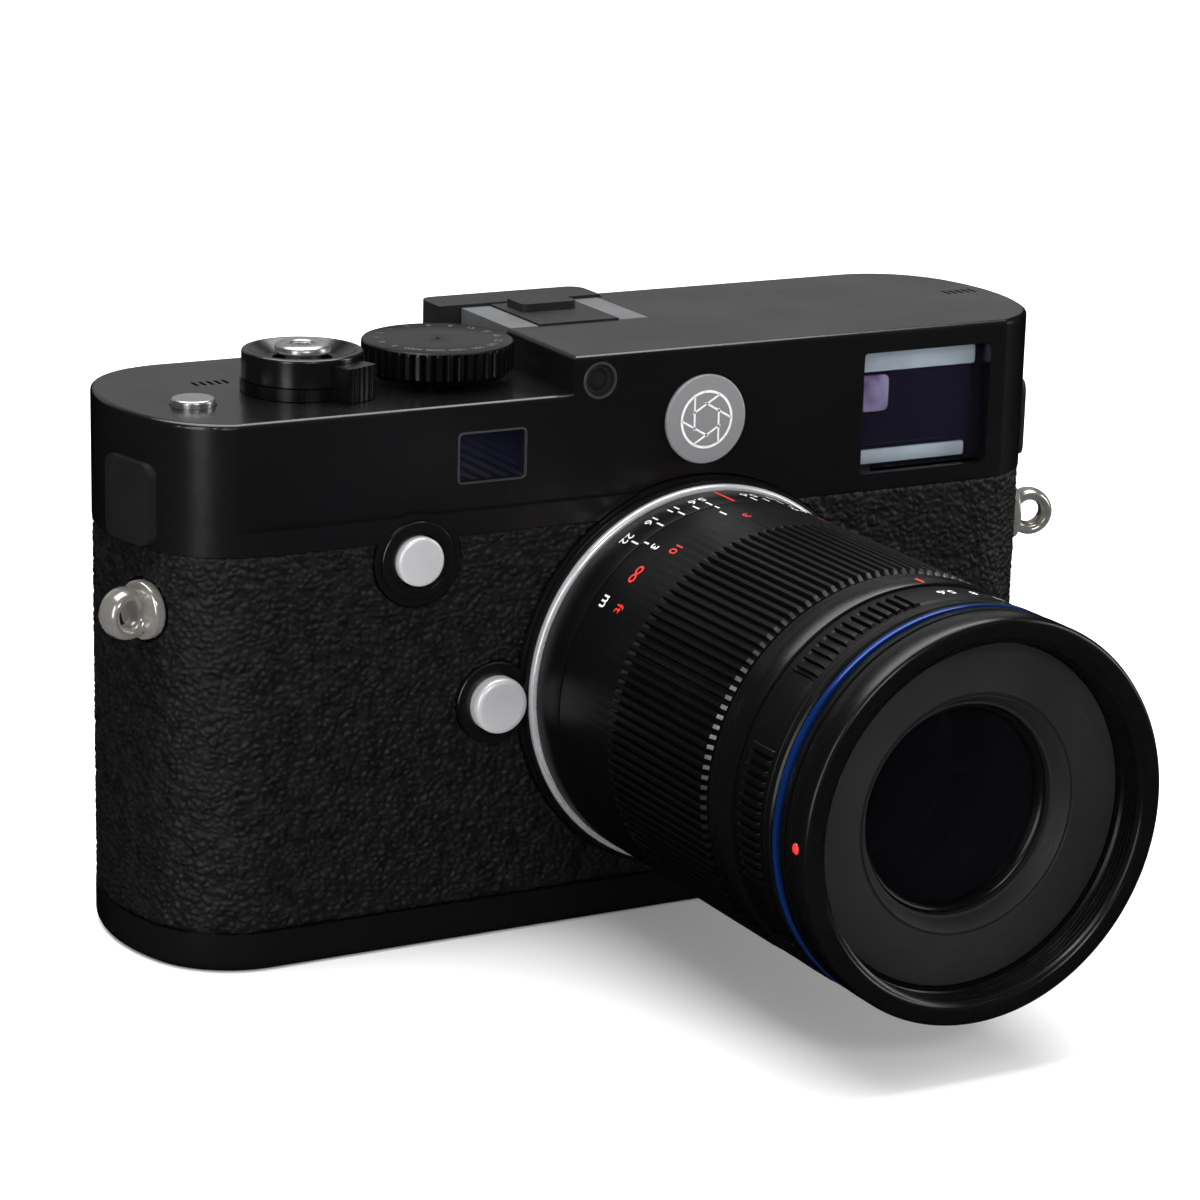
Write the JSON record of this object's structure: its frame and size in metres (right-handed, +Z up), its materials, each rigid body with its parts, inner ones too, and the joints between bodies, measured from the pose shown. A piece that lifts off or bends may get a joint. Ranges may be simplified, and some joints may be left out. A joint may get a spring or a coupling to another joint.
{
  "type": "digital rangefinder camera",
  "caption": "Black metal rangefinder camera with stepped top, pebbled covering, finder windows, top dials and a long ribbed lens with a blue ring.",
  "frame": {"origin": "mouth of the tripod socket, under the lens axis, on the plane the camera stands on", "axes": "+Z up, the lens looks along -Y, +X along the body to the right seen from the front"},
  "size_m": [0.1486, 0.1156, 0.0809],
  "materials": {
    "black_paint": "satin",
    "black_anodised": "satin black",
    "covering": "pebbled",
    "silver": "satin",
    "steel": "brushed",
    "brass_bush": "plain",
    "casting": "cast",
    "glass_front": "coated",
    "glass_clear": "coated",
    "screen": "polished",
    "blue_anodised": "bright anodised",
    "red_enamel": "gloss",
    "black_rubber": "matt",
    "black_plastic": "matt",
    "board": "matt",
    "battery_case": "matt",
    "card": "matt",
    "sensor": "coated"
  },
  "bodies": {
    "camera": {"body_shell": "black_paint", "chassis": "casting", "tripod_bush": "brass_bush", "leather_left": "covering", "leather_right": "covering", "strap_lugs": "steel", "strap_guards": "black_rubber", "top_cover": "black_paint", "bayonet_ring": "silver", "bayonet_screws": "steel", "finder_window": "glass_clear", "finder_prism": "glass_clear", "rangefinder_window": "glass_front", "rangefinder_prism": "glass_front", "light_sensor": "black_plastic", "eyepiece_ring": "black_anodised", "eyepiece_lens": "glass_clear", "badge": "red_enamel", "rear_panel": "black_plastic", "screen_glass": "screen", "shutter_frame": "casting", "shutter_curtain": "black_anodised", "image_sensor": "sensor", "main_board": "board", "battery": "battery_case", "memory_card": "card", "release_tower": "black_paint", "hot_shoe": "silver"},
    "base_cover": {"base_plate": "black_paint"},
    "base_key": {"base_lock": "black_anodised"},
    "key_bow": {"lock_bow": "steel"},
    "lens": {"lens_mount": "silver", "depth_scale_ring": "black_anodised", "inner_barrel": "black_anodised", "rear_element": "glass_clear"},
    "focus_grip": {"focus_ring": "black_anodised"},
    "front_section": {"focus_tube": "black_anodised", "index_ring": "black_anodised", "blue_ring": "blue_anodised", "front_barrel": "black_anodised", "name_ring": "black_anodised", "front_element": "glass_front", "iris_blades": "black_anodised"},
    "aperture_grip": {"aperture_ring": "black_anodised"},
    "rear_key_1_body": {"rear_key_1": "black_plastic"},
    "rear_key_2_body": {"rear_key_2": "black_plastic"},
    "rear_key_3_body": {"rear_key_3": "black_plastic"},
    "rear_key_4_body": {"rear_key_4": "black_plastic"},
    "rear_key_5_body": {"rear_key_5": "black_plastic"},
    "four_way_pad_body": {"four_way_pad": "black_plastic"},
    "centre_key_body": {"centre_key": "black_plastic"},
    "thumbwheel_body": {"thumbwheel": "black_plastic"},
    "rangefinder_arm_body": {"rangefinder_arm": "steel"},
    "power_switch_body": {"power_switch": "black_anodised"},
    "shutter_button_body": {"shutter_button": "silver"},
    "speed_dial_body": {"speed_dial": "black_anodised"},
    "movie_button_body": {"movie_button": "silver"},
    "shoe_cover_body": {"shoe_cover": "black_plastic"},
    "focus_button_body": {"focus_button": "silver"},
    "lens_release_body": {"lens_release": "silver"}
  },
  "joints": [
    {"name": "base_cover_swing", "type": "hinge", "parent": "camera", "child": "base_cover", "pos_m": [0.06, 0, 0.0054], "axis": [0, -1, 0], "range_deg": [0, 30]},
    {"name": "base_key_turn", "type": "hinge", "parent": "base_cover", "child": "base_key", "pos_m": [-0.0593, 0, 0.001], "axis": [0, 0, 1], "range_deg": [0, 180]},
    {"name": "key_bow_fold", "type": "hinge", "parent": "base_key", "child": "key_bow", "pos_m": [-0.0593, 0, 0.00095], "axis": [1, 0, 0], "range_deg": [0, 90]},
    {"name": "lens_twist", "type": "hinge", "parent": "camera", "child": "lens", "pos_m": [0, 0, 0.034], "axis": [0, -1, 0], "range_deg": [0, 45]},
    {"name": "focus_turn", "type": "hinge", "parent": "lens", "child": "focus_grip", "pos_m": [0, 0, 0.034], "axis": [0, -1, 0], "range_deg": [0, 150]},
    {"name": "front_extend", "type": "slide", "parent": "lens", "child": "front_section", "axis": [0, -1, 0], "range_m": [0, 0.0136]},
    {"name": "aperture_turn", "type": "hinge", "parent": "front_section", "child": "aperture_grip", "pos_m": [0, 0, 0.034], "axis": [0, -1, 0], "range_deg": [-12, 48]},
    {"name": "shutter_press", "type": "slide", "parent": "camera", "child": "shutter_button_body", "axis": [0, 0, -1], "range_m": [0, 0.0015], "stiffness_N_per_m": 1000, "springref_m": -0.0015},
    {"name": "movie_press", "type": "slide", "parent": "camera", "child": "movie_button_body", "axis": [0, 0, -1], "range_m": [0, 0.0005], "stiffness_N_per_m": 2000, "springref_m": -0.0005},
    {"name": "focus_key_press", "type": "slide", "parent": "camera", "child": "focus_button_body", "axis": [0, 1, 0], "range_m": [0, 0.0008], "stiffness_N_per_m": 1250, "springref_m": -0.0008},
    {"name": "lens_release_press", "type": "slide", "parent": "camera", "child": "lens_release_body", "axis": [0, 1, 0], "range_m": [0, 0.0015], "stiffness_N_per_m": 1333.3, "springref_m": -0.0015},
    {"name": "rear_key_1_press", "type": "slide", "parent": "camera", "child": "rear_key_1_body", "axis": [0, -1, 0], "range_m": [0, 0.0005], "stiffness_N_per_m": 2000, "springref_m": -0.0005},
    {"name": "rear_key_2_press", "type": "slide", "parent": "camera", "child": "rear_key_2_body", "axis": [0, -1, 0], "range_m": [0, 0.0005], "stiffness_N_per_m": 2000, "springref_m": -0.0005},
    {"name": "rear_key_3_press", "type": "slide", "parent": "camera", "child": "rear_key_3_body", "axis": [0, -1, 0], "range_m": [0, 0.0005], "stiffness_N_per_m": 2000, "springref_m": -0.0005},
    {"name": "rear_key_4_press", "type": "slide", "parent": "camera", "child": "rear_key_4_body", "axis": [0, -1, 0], "range_m": [0, 0.0005], "stiffness_N_per_m": 2000, "springref_m": -0.0005},
    {"name": "rear_key_5_press", "type": "slide", "parent": "camera", "child": "rear_key_5_body", "axis": [0, -1, 0], "range_m": [0, 0.0005], "stiffness_N_per_m": 2000, "springref_m": -0.0005},
    {"name": "four_way_press", "type": "slide", "parent": "camera", "child": "four_way_pad_body", "axis": [0, -1, 0], "range_m": [0, 0.0004], "stiffness_N_per_m": 2500, "springref_m": -0.0004},
    {"name": "centre_key_press", "type": "slide", "parent": "camera", "child": "centre_key_body", "axis": [0, -1, 0], "range_m": [0, 0.0005], "stiffness_N_per_m": 2000, "springref_m": -0.0005},
    {"name": "thumbwheel_turn", "type": "hinge", "parent": "camera", "child": "thumbwheel_body", "pos_m": [-0.0593, 0.0139, 0.0645], "axis": [0, 0, 1], "continuous": true},
    {"name": "speed_dial_turn", "type": "hinge", "parent": "camera", "child": "speed_dial_body", "pos_m": [-0.0319, -0.0025, 0.077], "axis": [0, 0, 1], "continuous": true},
    {"name": "power_switch_turn", "type": "hinge", "parent": "camera", "child": "power_switch_body", "pos_m": [-0.0518, -0.0025, 0.076], "axis": [0, 0, 1], "range_deg": [-54, 0]},
    {"name": "shoe_cover_slide", "type": "slide", "parent": "camera", "child": "shoe_cover_body", "axis": [0, 1, 0], "range_m": [0, 0.024]},
    {"name": "rangefinder_arm_swing", "type": "hinge", "parent": "camera", "child": "rangefinder_arm_body", "pos_m": [0.0217, -0.011, 0.052], "axis": [0, 0, 1], "range_deg": [-6, 0], "stiffness_Nm_per_rad": 0.01, "springref_deg": 11.46}
  ],
  "couplings": [
    {"joint": "front_extend", "follows": "focus_turn", "m_per_rad": 0.005157}
  ]
}
